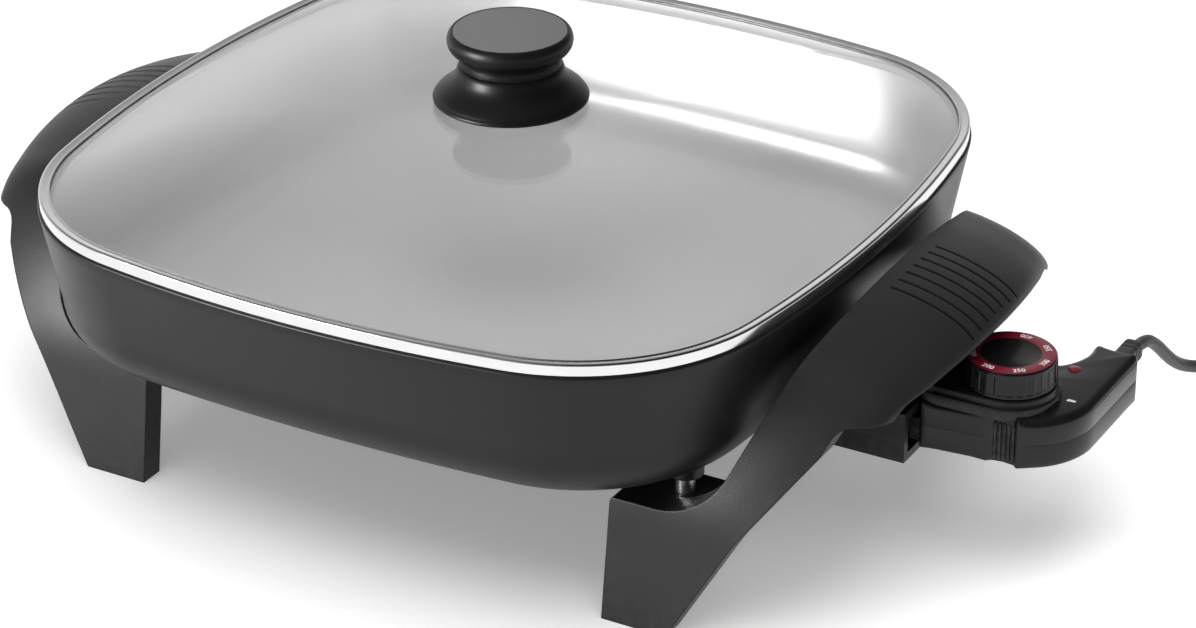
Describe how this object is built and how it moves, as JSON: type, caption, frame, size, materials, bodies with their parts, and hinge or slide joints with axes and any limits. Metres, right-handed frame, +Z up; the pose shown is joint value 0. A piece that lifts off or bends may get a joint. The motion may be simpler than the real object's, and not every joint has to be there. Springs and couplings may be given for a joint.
{
  "type": "electric skillet",
  "caption": "Square electric frying pan on two moulded leg-and-handle brackets, with a domed glass lift-off lid and a plug-in heat control on a cord.",
  "frame": {"origin": "on the table under the middle of the skillet's overall length, from the left handle to the heat control, and of its width", "axes": "+X towards the heat control, +Y towards the back, +Z up"},
  "size_m": [0.5363, 0.3791, 0.1639],
  "materials": {
    "pan_coating": "satin black non-stick coating on cast aluminium",
    "bracket_plastic": "black heat-resistant moulding, finely grained",
    "shroud_plastic": "black heat-resistant moulding",
    "control_plastic": "charcoal moulding, finely grained",
    "knob_plastic": "black heat-resistant moulding",
    "knob_disc": "dark grey, coarsely grained",
    "dial_plastic": "glossy black",
    "dial_mark": "dark red ring with white marks",
    "glass": "clear tempered glass",
    "band_metal": "bright polished stainless steel",
    "bare_steel": "zinc-plated",
    "bright_steel": "nickel-plated",
    "probe_steel": "stainless tube",
    "spacer_metal": "turned",
    "ceramic": "off-white ceramic",
    "contact_metal": "spring brass",
    "silver": "silver contact rivets",
    "shaft_plastic": "natural",
    "seal_rubber": "soft",
    "lens": "translucent red",
    "lamp_glass": "clear bulb",
    "cord_jacket": "smooth black jacket",
    "plug_body": "black moulded plug"
  },
  "bodies": {
    "skillet": {"pan": "pan_coating", "heating_element": "probe_steel", "terminal_pin_front": "bright_steel", "terminal_pin_back": "bright_steel", "terminal_insulators": "ceramic", "terminal_shroud": "shroud_plastic", "shroud_screws": "bare_steel", "left_bracket": "bracket_plastic", "right_bracket": "bracket_plastic", "bracket_screws": "bare_steel", "bracket_washers": "bare_steel", "bracket_spacers": "spacer_metal"},
    "lid": {"lid_glass": "glass", "lid_band": "band_metal", "knob_base": "knob_plastic", "knob_grip": "knob_plastic", "knob_face_disc": "knob_disc", "knob_insert": "contact_metal", "knob_screw": "bare_steel", "knob_gasket": "seal_rubber", "lid_washer": "bare_steel"},
    "heat_control": {"control_upper_shell": "control_plastic", "control_lower_shell": "control_plastic", "control_nose": "shroud_plastic", "terminal_clips": "contact_metal", "sensor_probe": "probe_steel", "thermostat_block": "ceramic", "contact_leaf_lower": "contact_metal", "contact_leaf_upper": "contact_metal", "contact_points": "silver", "neon_lamp": "lamp_glass", "indicator_lens": "lens", "housing_screws": "bare_steel", "cord_guard": "seal_rubber", "cord": "cord_jacket", "cord_coil": "cord_jacket", "plug": "plug_body", "plug_blades": "bright_steel"},
    "dial": {"dial": "dial_plastic", "dial_ring": "dial_mark", "dial_shaft": "shaft_plastic"}
  },
  "joints": [
    {"name": "lid_lift", "type": "slide", "parent": "skillet", "child": "lid", "axis": [0, 0, 1], "range_m": [0, 0.16]},
    {"name": "heat_control_pull", "type": "slide", "parent": "skillet", "child": "heat_control", "axis": [1, 0, 0], "range_m": [0, 0.11]},
    {"name": "dial_turn", "type": "hinge", "parent": "heat_control", "child": "dial", "pos_m": [0.18675, 0, 0.0724], "axis": [0, 0, 1], "range_deg": [0, 270]}
  ]
}
